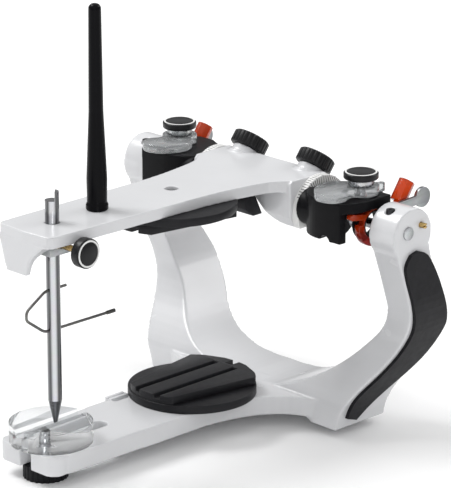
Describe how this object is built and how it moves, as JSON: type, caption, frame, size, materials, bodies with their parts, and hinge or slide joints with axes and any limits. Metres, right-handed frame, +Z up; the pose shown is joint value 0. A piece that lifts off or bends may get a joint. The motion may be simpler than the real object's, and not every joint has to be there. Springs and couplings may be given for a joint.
{
  "type": "dental articulator",
  "caption": "Semi-adjustable dental articulator: cast base with two uprights, hinged upper arm on condyle balls, incisal pin and table, cast mounting plates and condylar guide housings.",
  "frame": {"origin": "the incisal pin axis where it meets the plane of the feet", "axes": "+Z up along the incisal pin, +Y from the pin back to the condylar hinge axis, +X towards the right upright"},
  "size_m": [0.231, 0.2405, 0.268],
  "materials": {
    "white_enamel": "gloss white stoved paint",
    "black_rubber": "matt black rubber",
    "ground_steel": "ground bright steel",
    "dark_screw": "blackened steel",
    "brass": "turned brass",
    "plate_plastic": "black glass-filled plastic, satin",
    "clear_acrylic": "clear polished acrylic",
    "grey_plastic": "translucent grey moulded plastic",
    "grey_metal": "satin grey aluminium",
    "rod_black": "gloss black plastic",
    "scale_white": "white moulded plastic",
    "polished_chrome": "polished chrome",
    "wire_steel": "drawn spring steel",
    "knob_black": "black moulded plastic",
    "housing_black": "black moulded plastic, satin",
    "lever_orange": "orange-red moulded plastic"
  },
  "bodies": {
    "lower_member": {"base_frame": "white_enamel", "left_upright_pad": "black_rubber", "right_upright_pad": "black_rubber", "rear_feet": "black_rubber", "left_axle": "ground_steel", "right_axle": "ground_steel", "axle_set_screws": "dark_screw", "axle_lock_screws": "brass", "lower_plate_holder": "plate_plastic", "lower_mounting_plate": "plate_plastic", "lower_magnet": "ground_steel"},
    "release_tab": {"release_tab": "white_enamel"},
    "table_carriage": {"incisal_table": "clear_acrylic", "table_screw": "ground_steel"},
    "clamp_foot": {"table_clamp_foot": "black_rubber"},
    "condyle_balls": {"left_condyle_ball": "ground_steel", "right_condyle_ball": "ground_steel"},
    "upper_member": {"upper_frame": "white_enamel", "pin_clamp_block": "grey_metal", "upper_plate_holder": "plate_plastic", "upper_mounting_plate": "plate_plastic", "upper_magnet": "ground_steel", "handle_rod": "rod_black", "handle_stud": "ground_steel", "left_scale_ring": "scale_white", "right_scale_ring": "scale_white", "left_tilt_shaft": "ground_steel", "right_tilt_shaft": "ground_steel", "rear_bumper": "black_rubber"},
    "incisal_pin": {"incisal_pin": "polished_chrome", "pointer_wire": "wire_steel"},
    "pin_knob": {"pin_knob": "knob_black", "pin_knob_ring": "scale_white", "pin_knob_screw": "brass"},
    "left_lock_knob": {"left_lock_knob": "knob_black", "left_lock_screw": "ground_steel"},
    "left_housing": {"left_condyle_housing": "housing_black", "left_fossa_insert": "housing_black", "left_lever_pin": "ground_steel"},
    "left_wing": {"left_side_shift_wing": "grey_plastic"},
    "left_wing_knob": {"left_wing_knob": "knob_black", "left_wing_knob_ring": "scale_white", "left_wing_screw": "ground_steel"},
    "left_centric_lever": {"left_centric_lever": "lever_orange"},
    "left_latch_lever": {"left_latch_lever": "grey_metal"},
    "right_lock_knob": {"right_lock_knob": "knob_black", "right_lock_screw": "ground_steel"},
    "right_housing": {"right_condyle_housing": "housing_black", "right_fossa_insert": "housing_black", "right_lever_pin": "ground_steel"},
    "right_wing": {"right_side_shift_wing": "grey_plastic"},
    "right_wing_knob": {"right_wing_knob": "knob_black", "right_wing_knob_ring": "scale_white", "right_wing_screw": "ground_steel"},
    "right_centric_lever": {"right_centric_lever": "lever_orange"},
    "right_latch_lever": {"right_latch_lever": "grey_metal"}
  },
  "joints": [
    {"name": "upper_member_opening", "type": "hinge", "parent": "lower_member", "child": "condyle_balls", "pos_m": [0, 0.171, 0.129], "axis": [-1, 0, 0], "range_deg": [0, 105]},
    {"name": "protrusion", "type": "slide", "parent": "condyle_balls", "child": "upper_member", "axis": [0, 0.8192, 0.5736], "range_m": [0, 0.004]},
    {"name": "incisal_pin_height", "type": "slide", "parent": "upper_member", "child": "incisal_pin", "axis": [0, 0, 1], "range_m": [0, 0.015]},
    {"name": "pin_knob_turn", "type": "hinge", "parent": "upper_member", "child": "pin_knob", "pos_m": [0.024, 0, 0.1373], "axis": [1, 0, 0], "range_deg": [0, 360]},
    {"name": "table_slide", "type": "slide", "parent": "lower_member", "child": "table_carriage", "axis": [0, 1, 0], "range_m": [-0.006, 0.008]},
    {"name": "clamp_foot_turn", "type": "hinge", "parent": "table_carriage", "child": "clamp_foot", "pos_m": [0, -0.008, 0], "axis": [0, 0, 1], "range_deg": [0, 360]},
    {"name": "release_tab_push", "type": "slide", "parent": "lower_member", "child": "release_tab", "axis": [1, 0, 0], "range_m": [0, 0.002], "stiffness_N_per_m": 300},
    {"name": "left_lock_knob_turn", "type": "hinge", "parent": "upper_member", "child": "left_lock_knob", "pos_m": [-0.027, 0.171, 0.1365], "axis": [0, 0.6157, 0.788], "range_deg": [0, 360]},
    {"name": "left_path_tilt", "type": "hinge", "parent": "upper_member", "child": "left_housing", "pos_m": [0, 0.171, 0.129], "axis": [1, 0, 0], "range_deg": [-20, 25]},
    {"name": "left_wing_swing", "type": "hinge", "parent": "left_housing", "child": "left_wing", "pos_m": [-0.075, 0.171, 0.145], "axis": [0, 0, -1], "range_deg": [-15, 10]},
    {"name": "left_wing_knob_turn", "type": "hinge", "parent": "left_wing", "child": "left_wing_knob", "pos_m": [-0.075, 0.171, 0.155], "axis": [0, 0, 1], "range_deg": [0, 360]},
    {"name": "left_centric_lever_tilt", "type": "hinge", "parent": "left_housing", "child": "left_centric_lever", "pos_m": [0, 0.171, 0.129], "axis": [1, 0, 0], "range_deg": [0, 12]},
    {"name": "left_latch_lever_lift", "type": "hinge", "parent": "left_housing", "child": "left_latch_lever", "pos_m": [0, 0.177, 0.1365], "axis": [1, 0, 0], "range_deg": [0, 40]},
    {"name": "right_lock_knob_turn", "type": "hinge", "parent": "upper_member", "child": "right_lock_knob", "pos_m": [0.027, 0.171, 0.1365], "axis": [0, 0.6157, 0.788], "range_deg": [0, 360]},
    {"name": "right_path_tilt", "type": "hinge", "parent": "upper_member", "child": "right_housing", "pos_m": [0, 0.171, 0.129], "axis": [1, 0, 0], "range_deg": [-20, 25]},
    {"name": "right_wing_swing", "type": "hinge", "parent": "right_housing", "child": "right_wing", "pos_m": [0.075, 0.171, 0.145], "axis": [0, 0, 1], "range_deg": [-15, 10]},
    {"name": "right_wing_knob_turn", "type": "hinge", "parent": "right_wing", "child": "right_wing_knob", "pos_m": [0.075, 0.171, 0.155], "axis": [0, 0, 1], "range_deg": [0, 360]},
    {"name": "right_centric_lever_tilt", "type": "hinge", "parent": "right_housing", "child": "right_centric_lever", "pos_m": [0, 0.171, 0.129], "axis": [1, 0, 0], "range_deg": [0, 12]},
    {"name": "right_latch_lever_lift", "type": "hinge", "parent": "right_housing", "child": "right_latch_lever", "pos_m": [0, 0.177, 0.1365], "axis": [1, 0, 0], "range_deg": [0, 40]}
  ]
}
